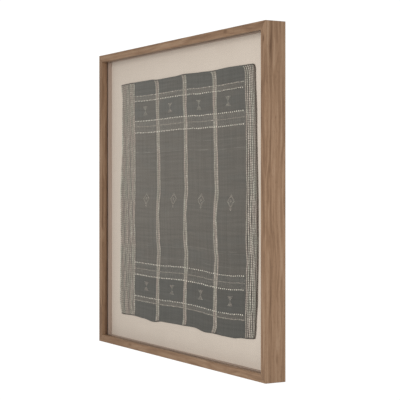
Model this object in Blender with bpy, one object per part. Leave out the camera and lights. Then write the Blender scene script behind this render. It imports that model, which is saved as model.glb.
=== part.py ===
# Framed woven textile: a mitred walnut box frame with a clear pane, spacers, a linen-covered
# mount and a handwoven cloth floated on the linen.
# Metres, +Z up. The wall is the plane Y = 0 and the front looks along -Y.
# The origin is the middle of the top rail's back face, where the frame meets the wall.

import math

import bmesh
import bpy
import numpy as np
from mathutils import Matrix, Vector

# Driving dimensions of the frame
FRAME_WIDTH = 0.826
FRAME_HEIGHT = 0.762
FRAME_DEPTH = 0.051
RAIL_FACE = 0.018  # width of the moulding seen from the front
LIP_DEPTH = 0.0155  # from the front to the back of the lip
RABBET_WIDTH = 0.0065  # how far the lip reaches in past the moulding's wall
ARRIS = 0.0008  # eased edges of the moulding
ARRIS_STEPS = 2
GAP = 0.0003  # clearance between touching pieces

# Thicknesses of what the rabbet holds, from the front to the back
PANE_THICK = 0.002
SPACER_DEPTH = 0.0106
LINEN_THICK = 0.001
MOUNT_THICK = 0.005
BACK_THICK = 0.003

# The cloth as it hangs: its cut edges wander a few millimetres about this rectangle,
# measured from the middle of the frame
CLOTH_LEFT = -0.335
CLOTH_RIGHT = 0.338
CLOTH_TOP = 0.300
CLOTH_BOTTOM = -0.303
CLOTH_THICK = 0.0015
CLOTH_RIM = 0.0009  # thickness at the worn edge
RIM_WIDTH = 0.004
CORNER_REACH = 0.011  # the worn corners are rounded over this distance

# How far each edge of the cloth stands out of the rectangle (+) or draws in (-), in millimetres;
# along is the distance from the rectangle's left or bottom end
TOP_EDGE = {
    "along": (0, 70, 180, 211, 300, 348, 423, 486, 560, 673),
    "offset": (-1, 0, 0, -2, -1, 1, -1, -2, 0, -1),
}
BOTTOM_EDGE = {
    "along": (0, 74, 130, 185, 237, 335, 394, 448, 486, 530, 573, 616, 673),
    "offset": (0, -2, 0, 4, -1, -2, -3, 3, 2, 3, 3, -1, -4),
}
LEFT_EDGE = {
    "along": (0, 36, 194, 260, 312, 457, 562, 603),
    "offset": (0, 7, 3, 4, 4, -6, -6, -1),
}
RIGHT_EDGE = {
    "along": (0, 36, 90, 187, 274, 479, 583, 603),
    "offset": (-8, -5, 0, 3, 3, -3, -8, -8),
}
# How far each corner is worn in, in millimetres; side is -1 left or 1 right, end -1 bottom or 1 top
CORNER_WEAR = {
    "side": (-1, 1, -1, 1),
    "end": (1, 1, -1, -1),
    "wear": (1.0, 3.0, 1.5, 1.5),
}

# Warp stripes of thicker yarn, from the left selvedge to the right one, in millimetres from
# the middle of the frame; each stripe is raised in this many ridges
STRIPES = {
    "left": (-329, -135, 7, 148, 289),
    "right": (-256, -115, 29, 169, 333),
    "ridges": (6, 2, 2, 2, 5),
    "height": (0.35, 0.40, 0.40, 0.40, 0.35),
}
# Weft bands of extra yarn laid across the cloth, from the top down, in millimetres
BANDS = {
    "middle": (264, 250, 200, 185, 169, -163, -179, -194, -249, -261),
    "width": (4.0, 3.4, 3.4, 4.0, 3.4, 3.4, 4.0, 3.4, 3.4, 4.0),
    "height": (0.20, 0.35, 0.35, 0.20, 0.35, 0.35, 0.20, 0.35, 0.35, 0.20),
}
FIELD_STEP = 0.026  # largest spacing of the cloth's mesh between stripes and bands
LEAST_STEP = 0.0004  # mesh lines closer than this are left out
EDGE_FALLOFF = 6  # the power by which the edges' wander dies away, so that stripes stay nearly straight

MM = 0.001
HALF_WIDTH = FRAME_WIDTH / 2
HALF_HEIGHT = FRAME_HEIGHT / 2
RAIL_WALL = RAIL_FACE - RABBET_WIDTH
TOP_EDGE_Z = RAIL_WALL / 2  # the origin is the middle of the top rail's back face
FRAME_CENTRE = Vector((0.0, 0.0, TOP_EDGE_Z - HALF_HEIGHT))
FRONT_Y = -FRAME_DEPTH

# Depths behind the front face at which each layer starts
PANE_FRONT = LIP_DEPTH + GAP
SPACER_FRONT = PANE_FRONT + PANE_THICK + GAP
LINEN_FRONT = SPACER_FRONT + SPACER_DEPTH + GAP
MOUNT_FRONT = LINEN_FRONT + LINEN_THICK + GAP
BACK_FRONT = MOUNT_FRONT + MOUNT_THICK + GAP
CLOTH_BACK = LINEN_FRONT - GAP
SHEET_WIDTH = FRAME_WIDTH - 2 * (RAIL_WALL + GAP)
SHEET_HEIGHT = FRAME_HEIGHT - 2 * (RAIL_WALL + GAP)


def clear_scene():
    for obj in list(bpy.data.objects):
        bpy.data.objects.remove(obj, do_unlink=True)


def make_material(name, colour, roughness, alpha=1.0):
    material = bpy.data.materials.new(name)
    material.use_nodes = True
    shader = material.node_tree.nodes["Principled BSDF"]
    shader.inputs["Base Color"].default_value = (*colour, 1.0)
    shader.inputs["Roughness"].default_value = roughness
    shader.inputs["Metallic"].default_value = 0.0
    shader.inputs["Alpha"].default_value = alpha
    return material


def add_object(name, bm, material, parent, location=(0, 0, 0), turn=0.0):
    mesh = bpy.data.meshes.new(name)
    bmesh.ops.recalc_face_normals(bm, faces=bm.faces)
    bm.to_mesh(mesh)
    bm.free()
    mesh.materials.append(material)
    obj = bpy.data.objects.new(name, mesh)
    obj.parent = parent
    obj.location = location
    obj.rotation_euler = (0.0, turn, 0.0)
    bpy.context.scene.collection.objects.link(obj)
    return obj


# Walnut moulding

def moulding_section():
    """Outline of the moulding as (depth behind the front, distance in from the outer edge)."""
    return [
        (0.0, 0.0),
        (0.0, RAIL_FACE),
        (LIP_DEPTH, RAIL_FACE),
        (LIP_DEPTH, RAIL_WALL),
        (FRAME_DEPTH, RAIL_WALL),
        (FRAME_DEPTH, 0.0),
    ]


def is_eased(edge, half_span):
    """True for the long edges that a hand touches: both at the front and the outer one at the back."""
    a, b = (v.co for v in edge.verts)
    if abs(a.x - b.x) < FRAME_DEPTH:
        return False
    depth = a.y - FRONT_Y
    inset = half_span - a.z
    return not (depth > LIP_DEPTH / 2 and inset > RAIL_WALL - GAP)


def saw_mitre(bm, corner, normal):
    """Cuts the run at the plane through the frame's corner and closes the cut."""
    geometry = bm.verts[:] + bm.edges[:] + bm.faces[:]
    bmesh.ops.bisect_plane(
        bm, geom=geometry, dist=1e-7, plane_co=corner, plane_no=normal, clear_outer=True
    )
    rim = [edge for edge in bm.edges if edge.is_boundary]
    bmesh.ops.holes_fill(bm, edges=rim)


def make_rail(name, length, half_span, turn, material, parent):
    """A length of moulding along X, its outer edge at +Z, mitred at both ends and turned about Y."""
    bm = bmesh.new()
    outline = [
        bm.verts.new((-length / 2, FRONT_Y + depth, half_span - inset))
        for depth, inset in moulding_section()
    ]
    end = bm.faces.new(outline)
    run = bmesh.ops.extrude_face_region(bm, geom=[end])
    far = [item for item in run["geom"] if isinstance(item, bmesh.types.BMVert)]
    bmesh.ops.translate(bm, verts=far, vec=(length, 0, 0))
    bmesh.ops.recalc_face_normals(bm, faces=bm.faces)
    eased = [edge for edge in bm.edges if is_eased(edge, half_span)]
    bmesh.ops.bevel(
        bm, geom=eased, offset=ARRIS, segments=ARRIS_STEPS, profile=0.5, affect="EDGES"
    )
    for side in (-1, 1):
        normal = Vector((side, 0, -1)).normalized()
        corner = Vector((side * length / 2, 0, half_span)) - normal * GAP / 2
        saw_mitre(bm, corner, normal)
    rail = add_object(name, bm, material, parent, turn=turn)
    rail.data.shade_flat()
    return rail


def make_frame(material, parent):
    quarter = math.pi / 2
    make_rail("rail_top", FRAME_WIDTH, HALF_HEIGHT, 0.0, material, parent)
    make_rail("rail_right", FRAME_HEIGHT, HALF_WIDTH, quarter, material, parent)
    make_rail("rail_bottom", FRAME_WIDTH, HALF_HEIGHT, 2 * quarter, material, parent)
    make_rail("rail_left", FRAME_HEIGHT, HALF_WIDTH, 3 * quarter, material, parent)


# Flat pieces in the rabbet

def make_sheet(name, width, height, front, thick, material, parent, centre=(0.0, 0.0)):
    """A flat rectangular piece whose front lies this far behind the front of the frame."""
    bm = bmesh.new()
    bmesh.ops.create_cube(bm, size=1.0, matrix=Matrix.Diagonal((width, thick, height, 1.0)))
    middle = FRONT_Y + front + thick / 2
    return add_object(name, bm, material, parent, location=(centre[0], middle, centre[1]))


def make_spacers(material, parent):
    """Four strips behind the pane, flush with the lip; the upright ones fit between the others."""
    depth = SPACER_DEPTH
    strip = RABBET_WIDTH - GAP
    across = HALF_WIDTH - RAIL_FACE + strip / 2
    up = HALF_HEIGHT - RAIL_FACE + strip / 2
    upright = SHEET_HEIGHT - 2 * (strip + GAP)
    make_sheet("spacer_top", SHEET_WIDTH, strip, SPACER_FRONT, depth, material, parent, (0, up))
    make_sheet("spacer_bottom", SHEET_WIDTH, strip, SPACER_FRONT, depth, material, parent, (0, -up))
    make_sheet("spacer_left", strip, upright, SPACER_FRONT, depth, material, parent, (-across, 0))
    make_sheet("spacer_right", strip, upright, SPACER_FRONT, depth, material, parent, (across, 0))


# The handwoven cloth

def edge_offset(table, along):
    """Offset of an edge at distances along it, both in metres, eased between the table's rows."""
    places = np.array(table["along"]) * MM
    offsets = np.array(table["offset"]) * MM
    index = np.clip(np.searchsorted(places, along, side="right") - 1, 0, len(places) - 2)
    share = np.clip((along - places[index]) / (places[index + 1] - places[index]), 0.0, 1.0)
    ease = share * share * (3.0 - 2.0 * share)
    return offsets[index] + (offsets[index + 1] - offsets[index]) * ease


def cloth_outline(x, z):
    """Carries points of the cloth's rectangle to where the wandering edges put them."""
    width = CLOTH_RIGHT - CLOTH_LEFT
    height = CLOTH_TOP - CLOTH_BOTTOM
    across = (x - CLOTH_LEFT) / width
    up = (z - CLOTH_BOTTOM) / height
    left = -edge_offset(LEFT_EDGE, z - CLOTH_BOTTOM)
    right = edge_offset(RIGHT_EDGE, z - CLOTH_BOTTOM)
    top = edge_offset(TOP_EDGE, x - CLOTH_LEFT)
    bottom = -edge_offset(BOTTOM_EDGE, x - CLOTH_LEFT)
    near_left = (1.0 - across) ** EDGE_FALLOFF
    near_right = across ** EDGE_FALLOFF
    near_top = up ** EDGE_FALLOFF
    near_bottom = (1.0 - up) ** EDGE_FALLOFF
    moved_x = x + left * near_left + right * near_right
    moved_z = z + top * near_top + bottom * near_bottom
    for side, end, wear in zip(*CORNER_WEAR.values()):
        edge_x = CLOTH_RIGHT if side > 0 else CLOTH_LEFT
        edge_z = CLOTH_TOP if end > 0 else CLOTH_BOTTOM
        near_x = np.clip(1.0 - np.abs(edge_x - x) / CORNER_REACH, 0.0, 1.0)
        near_z = np.clip(1.0 - np.abs(edge_z - z) / CORNER_REACH, 0.0, 1.0)
        worn = wear * MM * near_x * near_z
        moved_x = moved_x - side * worn
        moved_z = moved_z - end * worn
    return moved_x, moved_z


def ridge_lines(middle, width, count, height):
    """Where a stripe's or band's ridges start, crest and end, as (place, height above the cloth)."""
    pitch = width / count
    start = middle - width / 2
    lines = []
    for number in range(count):
        lines.append(((start + number * pitch) * MM, 0.0))
        lines.append(((start + (number + 0.5) * pitch) * MM, height * MM))
    lines.append(((start + width) * MM, 0.0))
    return lines


def mesh_lines(low, high, ridges):
    """Grid lines from low to high as (place, ridge height): the ridges' own and fill between them."""
    margins = [low, low + RIM_WIDTH, low + CORNER_REACH, high - CORNER_REACH, high - RIM_WIDTH, high]
    first, last_ridge = min(ridges)[0], max(ridges)[0]
    plain = [(place, 0.0) for place in margins if not first < place < last_ridge]
    fixed = sorted(plain + ridges)
    lines = [fixed[0]]
    for place, height in fixed[1:]:
        last = lines[-1][0]
        if place - last < LEAST_STEP:
            continue
        steps = math.ceil((place - last) / FIELD_STEP)
        for step in range(1, steps):
            lines.append((last + (place - last) * step / steps, 0.0))
        lines.append((place, height))
    return np.array(lines)


def make_cloth(material, parent):
    """One sheet with a flat back; stripes and bands of thicker yarn are ridges on its front."""
    columns = []
    for left, right, count, height in zip(*STRIPES.values()):
        columns += ridge_lines((left + right) / 2, right - left, count, height)
    rows = []
    for middle, width, height in zip(*BANDS.values()):
        rows += ridge_lines(middle, width, 1, height)
    across = mesh_lines(CLOTH_LEFT, CLOTH_RIGHT, columns)
    up = mesh_lines(CLOTH_BOTTOM, CLOTH_TOP, rows)

    bm = bmesh.new()
    bmesh.ops.create_grid(bm, x_segments=len(across) - 1, y_segments=len(up) - 1, size=1.0)
    places = np.array([v.co[:] for v in bm.verts])
    i = np.rint((places[:, 0] + 1) / 2 * (len(across) - 1)).astype(int)
    j = np.rint((places[:, 1] + 1) / 2 * (len(up) - 1)).astype(int)
    x, z = across[i, 0], up[j, 0]
    rim = (i == 0) | (j == 0) | (i == len(across) - 1) | (j == len(up) - 1)
    thick = np.where(rim, CLOTH_RIM, CLOTH_THICK + np.maximum(across[i, 1], up[j, 1]))
    x, z = cloth_outline(x, z)
    back_y = FRONT_Y + CLOTH_BACK
    for vert, vx, vz, vt in zip(bm.verts, x, z, thick):
        vert.co = (vx, back_y - vt, vz)
    # the side wall runs straight back from the rim, and one flat face closes the back
    rim_edges = [edge for edge in bm.edges if edge.is_boundary]
    wall = bmesh.ops.extrude_edge_only(bm, edges=rim_edges)
    back_verts = [item for item in wall["geom"] if isinstance(item, bmesh.types.BMVert)]
    for vert in back_verts:
        vert.co.y = back_y
    back_edges = [edge for edge in bm.edges if edge.is_boundary]
    bmesh.ops.holes_fill(bm, edges=back_edges)
    cloth = add_object("textile", bm, material, parent)
    cloth.data.shade_smooth()
    cloth.data.set_sharp_from_angle(angle=math.radians(60))
    return cloth


def main():
    clear_scene()
    centre = bpy.data.objects.new("frame_centre", None)
    centre.location = FRAME_CENTRE
    bpy.context.scene.collection.objects.link(centre)

    walnut = make_material("walnut", (0.285, 0.175, 0.115), 0.55)
    spacer_wood = make_material("spacer_wood", (0.33, 0.25, 0.19), 0.7)
    clear = make_material("clear_pane", (0.95, 0.97, 0.96), 0.05, alpha=0.08)
    linen = make_material("linen", (0.60, 0.52, 0.44), 0.95)
    wool = make_material("grey_wool", (0.13, 0.125, 0.11), 0.95)
    board = make_material("board", (0.55, 0.50, 0.43), 0.9)
    back = make_material("back_board", (0.33, 0.25, 0.17), 0.85)

    make_frame(walnut, centre)
    make_sheet("pane", SHEET_WIDTH, SHEET_HEIGHT, PANE_FRONT, PANE_THICK, clear, centre)
    make_spacers(spacer_wood, centre)
    make_cloth(wool, centre)
    make_sheet("linen_ground", SHEET_WIDTH, SHEET_HEIGHT, LINEN_FRONT, LINEN_THICK, linen, centre)
    make_sheet("mount_board", SHEET_WIDTH, SHEET_HEIGHT, MOUNT_FRONT, MOUNT_THICK, board, centre)
    make_sheet("back_board", SHEET_WIDTH, SHEET_HEIGHT, BACK_FRONT, BACK_THICK, back, centre)


main()
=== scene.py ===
import math

import bpy
import numpy as np
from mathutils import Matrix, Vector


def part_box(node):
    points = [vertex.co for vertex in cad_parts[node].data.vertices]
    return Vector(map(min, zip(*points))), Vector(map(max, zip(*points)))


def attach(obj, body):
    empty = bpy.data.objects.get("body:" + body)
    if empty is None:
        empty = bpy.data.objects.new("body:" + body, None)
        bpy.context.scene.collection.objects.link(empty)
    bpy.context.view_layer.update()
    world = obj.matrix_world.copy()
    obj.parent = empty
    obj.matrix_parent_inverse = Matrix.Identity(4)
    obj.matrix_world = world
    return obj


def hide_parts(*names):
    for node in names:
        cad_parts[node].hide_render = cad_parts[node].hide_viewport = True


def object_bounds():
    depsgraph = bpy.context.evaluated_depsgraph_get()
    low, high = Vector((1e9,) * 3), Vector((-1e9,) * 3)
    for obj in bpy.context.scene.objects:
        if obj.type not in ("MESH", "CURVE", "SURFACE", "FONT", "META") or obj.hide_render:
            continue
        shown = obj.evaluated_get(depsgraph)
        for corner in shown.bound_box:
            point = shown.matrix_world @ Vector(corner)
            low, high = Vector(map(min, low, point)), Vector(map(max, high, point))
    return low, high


# Looks of the framed handwoven textile. Metres, +Z up; the wall is Y = 0 and the front looks along -Y.
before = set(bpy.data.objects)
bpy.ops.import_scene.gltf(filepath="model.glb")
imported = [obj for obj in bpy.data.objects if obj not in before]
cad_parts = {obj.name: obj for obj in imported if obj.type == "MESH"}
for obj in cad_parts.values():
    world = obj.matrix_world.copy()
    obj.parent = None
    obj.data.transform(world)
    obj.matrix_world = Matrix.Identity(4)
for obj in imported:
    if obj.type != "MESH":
        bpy.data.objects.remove(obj)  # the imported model, which stays where it is
cadLow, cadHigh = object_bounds()

frontY = cadLow.y
frameWidth = cadHigh.x - cadLow.x
frameHeight = cadHigh.z - cadLow.z
frameDepth = cadHigh.y - cadLow.y
centreX = (cadLow.x + cadHigh.x) / 2
centreZ = (cadLow.z + cadHigh.z) / 2
mm = 0.001
print("frame loaded:", round(frameWidth, 4), round(frameDepth, 4), round(frameHeight, 4))


# Camera, at the photograph's angle: level, 60.5 degrees off the frame's face

cameraSet = {
    "place": (2.5925, -1.3893, 0.0331),  # from the middle of the front face
    "turn": 60.516,  # degrees
    "lens": 110.95,  # mm on a 36 mm sensor
    "shiftY": -0.0349,
}


def makeCamera():
    data = bpy.data.cameras.new("camera")
    data.lens = cameraSet["lens"]
    data.sensor_width = 36.0
    data.shift_y = cameraSet["shiftY"]
    data.clip_start = 0.1
    data.clip_end = 60.0
    camera = bpy.data.objects.new("camera", data)
    x, y, z = cameraSet["place"]
    camera.location = (centreX + x, frontY + y, centreZ + z)
    camera.rotation_euler = (math.radians(90.0), 0.0, math.radians(cameraSet["turn"]))
    bpy.context.scene.collection.objects.link(camera)
    bpy.context.scene.camera = camera


makeCamera()
print("camera set")


# Light, background and floor

studio = {
    "seen": 1.06,  # brightness of the background that the camera sees
    "fill": 0.62,  # brightness of the same background as a light
    "mirrored": 0.16,  # and in reflections, as if dark cloth hung beside the camera
    "floorDrop": 1.0,  # below the frame
    "floorSize": 6.0,
}
softboxes = {
    "name": ("keyLight", "sideLight"),
    "place": ((1.0, -2.3, 0.5), (1.15, 0.2, -0.03)),  # from the middle of the front
    "size": (1.8, 0.6),
    "power": (40.0, 3.0),
}


def makeWorld():
    world = bpy.data.worlds.new("studio")
    world.use_nodes = True
    bpy.context.scene.world = world
    tree = world.node_tree
    tree.nodes.clear()
    output = addNode(tree, "OutputWorld")
    seen = addNode(tree, "Background", {"Color": (1, 1, 1, 1), "Strength": studio["seen"]})
    fill = addNode(tree, "Background", {"Color": (1, 1, 1, 1), "Strength": studio["fill"]})
    path = addNode(tree, "LightPath")
    dim = addNode(tree, "Background", {"Color": (1, 1, 1, 1), "Strength": studio["mirrored"]})
    unseen = addNode(tree, "MixShader", {0: path.outputs["Is Glossy Ray"], 1: fill.outputs[0], 2: dim.outputs[0]})
    whole = addNode(tree, "MixShader", {0: path.outputs["Is Camera Ray"], 1: unseen.outputs[0], 2: seen.outputs[0]})
    tree.links.new(whole.outputs[0], output.inputs["Surface"])


def makeLights():
    for name, place, size, power in zip(*softboxes.values()):
        data = bpy.data.lights.new(name, "AREA")
        data.shape = "SQUARE"
        data.size = size
        data.energy = power
        light = bpy.data.objects.new(name, data)
        light.location = (centreX + place[0], frontY + place[1], centreZ + place[2])
        aim = -np.array(place)
        light.rotation_euler = (
            math.acos(-aim[2] / np.linalg.norm(aim)),
            0.0,
            math.atan2(aim[1], aim[0]) - math.pi / 2,
        )
        light.visible_glossy = False  # the pane mirrors no softbox
        bpy.context.scene.collection.objects.link(light)


def makeFloor():
    # one flat grid of two by two corners, level, below the frame
    half = studio["floorSize"] / 2
    level = cadLow.z - studio["floorDrop"]
    points = [(-half, -half, level), (half, -half, level), (half, half, level), (-half, half, level)]
    mesh = bpy.data.meshes.new("floor")
    mesh.from_pydata(points, [], [(0, 1, 2, 3)])
    floor = bpy.data.objects.new("floor", mesh)
    floor.data.materials.append(paleFloor())
    bpy.context.scene.collection.objects.link(floor)


# Small helpers for node trees

def addNode(tree, kind, inputs=None, **settings):
    made = tree.nodes.new("ShaderNode" + kind)
    for name, value in settings.items():
        setattr(made, name, value)
    for socket, value in (inputs or {}).items():
        if isinstance(value, bpy.types.NodeSocket):
            tree.links.new(value, made.inputs[socket])
        else:
            made.inputs[socket].default_value = value
    return made


def calc(tree, operation, first, second=0.0, third=0.0):
    values = {0: first, 1: second, 2: third}
    return addNode(tree, "Math", values, operation=operation).outputs[0]


def reach(tree, value, start, stop, low=0.0, high=1.0, smooth=True):
    # eases from low to high as the value goes from start to stop, and stays there on both sides
    kind = "SMOOTHSTEP" if smooth else "LINEAR"
    inputs = {"Value": value, "From Min": start, "From Max": stop, "To Min": low, "To Max": high}
    return addNode(tree, "MapRange", inputs, interpolation_type=kind).outputs[0]


def stretch(tree, place, factors):
    return addNode(tree, "VectorMath", {0: place, 1: factors}, operation="MULTIPLY").outputs[0]


def cloud(tree, place, factors, detail=2.0, rough=0.5):
    # noise from 0 to 1 over places that are first stretched by the three factors
    inputs = {"Vector": stretch(tree, place, factors), "Scale": 1.0, "Detail": detail, "Roughness": rough}
    return addNode(tree, "TexNoise", inputs).outputs["Fac"]


def tint(tree, share, first, second, mode="MIX"):
    made = addNode(tree, "Mix", {0: share, 6: first, 7: second}, data_type="RGBA", blend_type=mode)
    return made.outputs[2]


def ramp(tree, value, stops):
    # stops are pairs of a position and a colour
    made = addNode(tree, "ValToRGB", {0: value})
    elements = made.color_ramp.elements
    while len(elements) < len(stops):
        elements.new(0.5)
    for element, (position, colour) in zip(elements, stops):
        element.position = position
        element.color = (*colour, 1.0)
    return made.outputs[0]


def bump(tree, height, strength, distance):
    return addNode(tree, "Bump", {"Height": height, "Strength": strength, "Distance": distance}).outputs[0]


def startMaterial(name, roughness):
    material = bpy.data.materials.new(name)
    material.use_nodes = True
    tree = material.node_tree
    shader = tree.nodes["Principled BSDF"]
    shader.inputs["Roughness"].default_value = roughness
    return material, tree, shader


def wear(tree, shader, colour=None, roughness=None, normal=None):
    for socket, value in (("Base Color", colour), ("Roughness", roughness), ("Normal", normal)):
        if value is not None:
            tree.links.new(value, shader.inputs[socket])


def paleFloor():
    material, tree, shader = startMaterial("paleFloor", 0.8)
    place = addNode(tree, "TexCoord").outputs["Object"]
    patches = cloud(tree, place, (2.0, 2.0, 2.0), 4.0)
    wear(tree, shader, ramp(tree, patches, [(0.3, (0.78, 0.77, 0.76)), (0.7, (0.82, 0.81, 0.80))]))
    return material


makeWorld()
makeLights()
makeFloor()
bpy.context.scene.view_settings.view_transform = "Standard"
bpy.context.scene.cycles.denoising_prefilter = "NONE"  # keeps the single stitches apart
print("studio ready")


# Small helpers for meshes

def addPiece(name, points, faces, material, replaces=()):
    mesh = bpy.data.meshes.new(name)
    mesh.from_pydata(np.asarray(points).reshape(-1, 3), [], faces)
    mesh.materials.append(material)
    mesh.shade_smooth()
    piece = bpy.data.objects.new(name, mesh)
    bpy.context.scene.collection.objects.link(piece)
    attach(piece, "root")
    if replaces:
        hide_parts(*replaces)
    return piece


def addAttribute(piece, name, values):
    kind, field = ("FLOAT", "value") if np.ndim(values) == 1 else ("FLOAT_VECTOR", "vector")
    attribute = piece.data.attributes.new(name, kind, "POINT")
    attribute.data.foreach_set(field, np.asarray(values, np.float32).ravel())


def addThreads(piece, u, v):
    # a UV map that holds each point's place in the flat weave, in millimetres
    layer = piece.data.uv_layers.new(name="threads")
    corners = np.empty(len(piece.data.loops), np.int32)
    piece.data.loops.foreach_get("vertex_index", corners)
    places = np.stack([np.ravel(u), np.ravel(v)], axis=-1)[corners]
    layer.data.foreach_set("uv", places.astype(np.float32).ravel())


def gridFaces(rows, columns):
    # four corners of each cell, counterclockwise when columns run right and rows run up
    first = (np.arange(rows - 1)[:, None] * columns + np.arange(columns - 1)).ravel()
    return np.stack([first, first + 1, first + columns + 1, first + columns], axis=-1)


def rimOf(rows, columns):
    # the grid's outer points in order, counterclockwise from the lower left
    index = np.arange(rows * columns).reshape(rows, columns)
    return np.concatenate([index[0, :-1], index[:-1, -1], index[-1, :0:-1], index[:0:-1, 0]])


def closedSheet(front, backY):
    # a grid of front points, a wall that runs straight back from its rim, and one flat face behind
    rows, columns, _ = front.shape
    rim = rimOf(rows, columns)
    behind = front.reshape(-1, 3)[rim].copy()
    behind[:, 1] = backY
    count = rows * columns
    back = count + np.arange(len(rim))
    wall = np.stack([np.roll(rim, -1), rim, back, np.roll(back, -1)], axis=-1)
    points = np.concatenate([front.reshape(-1, 3), behind])
    faces = [*gridFaces(rows, columns).tolist(), *wall.tolist(), back[::-1].tolist()]
    return points, faces, rim


# Walnut rails: one moulding section carried along each side and sawn at 45 degrees

rails = {
    "face": 18.0,  # mm, seen from the front
    "lip": 15.5,  # mm, depth of the lip
    "wall": 11.5,  # mm, thickness behind the lip
    "arris": 0.8,  # mm, radius of the edges that a hand touches
    "innerArris": 0.4,
    "arcSteps": 5,
    "support": 0.35,  # mm, points beside each arc that keep the flats flat
    "seam": 0.06,  # mm, the fine line at each mitre
    "step": 20.0,  # mm, along the rail
    "grainShift": {"top": 0.3, "right": 1.7, "bottom": 3.1, "left": 4.9},  # metres along the plank
}


def roundedSection():
    # Each corner P with radius r becomes the arc C - r (b cos t + a sin t), where a and b point from P
    # to its neighbours and C = P + r a + r b; one more point stands a little way out on both sides.
    arris, inner = rails["arris"], rails["innerArris"]
    depth = frameDepth / mm
    corners = np.array([
        (0.0, 0.0),
        (0.0, rails["face"]),
        (rails["lip"], rails["face"]),
        (rails["lip"], rails["wall"]),
        (depth, rails["wall"]),
        (depth, 0.0),
    ])
    radii = np.array([arris, arris, inner, inner, inner, arris])[:, None, None]
    before = np.roll(corners, 1, axis=0) - corners
    after = np.roll(corners, -1, axis=0) - corners
    before = (before / np.linalg.norm(before, axis=1, keepdims=True))[:, None, :]
    after = (after / np.linalg.norm(after, axis=1, keepdims=True))[:, None, :]
    turn = np.linspace(0.0, math.pi / 2, rails["arcSteps"])[None, :, None]
    centre = corners[:, None, :] + radii * (before + after)
    arcs = centre - radii * (after * np.cos(turn) + before * np.sin(turn))
    out = rails["support"]
    section = np.concatenate([arcs[:, :1] + before * out, arcs, arcs[:, -1:] + after * out], axis=1)
    return section.reshape(-1, 2) * mm


def makeRail(name, outerMiddle, along, inward, length, shift, material):
    # The section runs from mitre to mitre: at inset i it spans the length less i at each end.
    section = roundedSection()
    count = len(section)
    ends = np.array([0.0, 0.0006, 0.002])
    steps = int(length / (rails["step"] * mm))
    shares = np.linspace(0.0, 1.0, steps)[1:-1]
    half = length / 2 - section[:, 1] - rails["seam"] * mm
    run = np.concatenate([
        -half + ends[:, None],
        -half + shares[:, None] * 2 * half,
        half - ends[::-1, None],
    ])
    rows = len(run)
    depths = np.broadcast_to(section[:, 0], run.shape)
    insets = np.broadcast_to(section[:, 1], run.shape)
    outward = np.array([0.0, 1.0, 0.0])
    points = outerMiddle + run[..., None] * along + insets[..., None] * inward + depths[..., None] * outward
    first = np.arange(rows - 1)[:, None] * count
    here = np.arange(count)
    there = np.roll(here, -1)
    sides = np.stack([first + here, first + there, first + there + count, first + here + count], axis=-1)
    caps = [list(range(count))[::-1], list(range((rows - 1) * count, rows * count))]
    if np.dot(np.cross(along, inward), outward) > 0:  # a mirrored rail would be inside out
        sides = sides[..., ::-1]
        caps = [cap[::-1] for cap in caps]
    piece = addPiece(name + "Rail", points, [*sides.reshape(-1, 4).tolist(), *caps], material,
                     ["rail_" + name])
    piece.data.set_sharp_from_angle(angle=math.radians(60))
    grain = np.stack([run + shift, insets, depths], axis=-1).reshape(-1, 3)
    addAttribute(piece, "grain", grain)
    atEnd = np.zeros(run.shape)
    atEnd[[0, -1]] = 1.0
    addAttribute(piece, "mitre", atEnd.ravel())
    return piece


walnut = {
    "dark": (0.125, 0.068, 0.038),
    "mid": (0.262, 0.160, 0.095),
    "light": (0.370, 0.250, 0.164),
    "ringPitch": 9.5,  # mm
    "pith": (-24.0, -60.0),  # mm across and deep, the heart of the tree
    "lean": 26.0,  # mm that the fibres wander across the plank
    "darkStreak": 14.0,  # mm behind the front
    "roughness": 0.52,
}
walnutMarks = {  # places along the plank in metres, then across and deep in mm; light marks are negative
    "along": (0.548, 2.043, 2.873, 2.913, 4.806, 2.029, 1.998, 1.37, 3.35, 0.12),
    "across": (6.5, 6.9, 11.0, 3.0, 18.0, 0.0, 0.0, 0.0, 8.0, 0.0),
    "deep": (0.0, 0.0, 0.0, 0.0, 2.8, 11.7, 21.7, 30.0, 0.0, 25.0),
    "length": (7.0, 9.0, 9.0, 9.0, 14.0, 22.0, 18.0, 14.0, 8.0, 16.0),
    "width": (3.0, 3.0, 3.2, 3.2, 4.5, 3.4, 3.6, 4.0, 3.0, 4.0),
    "strength": (0.75, 0.75, 0.60, 0.60, -0.55, 0.55, -0.45, 0.5, 0.5, 0.5),
}


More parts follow.
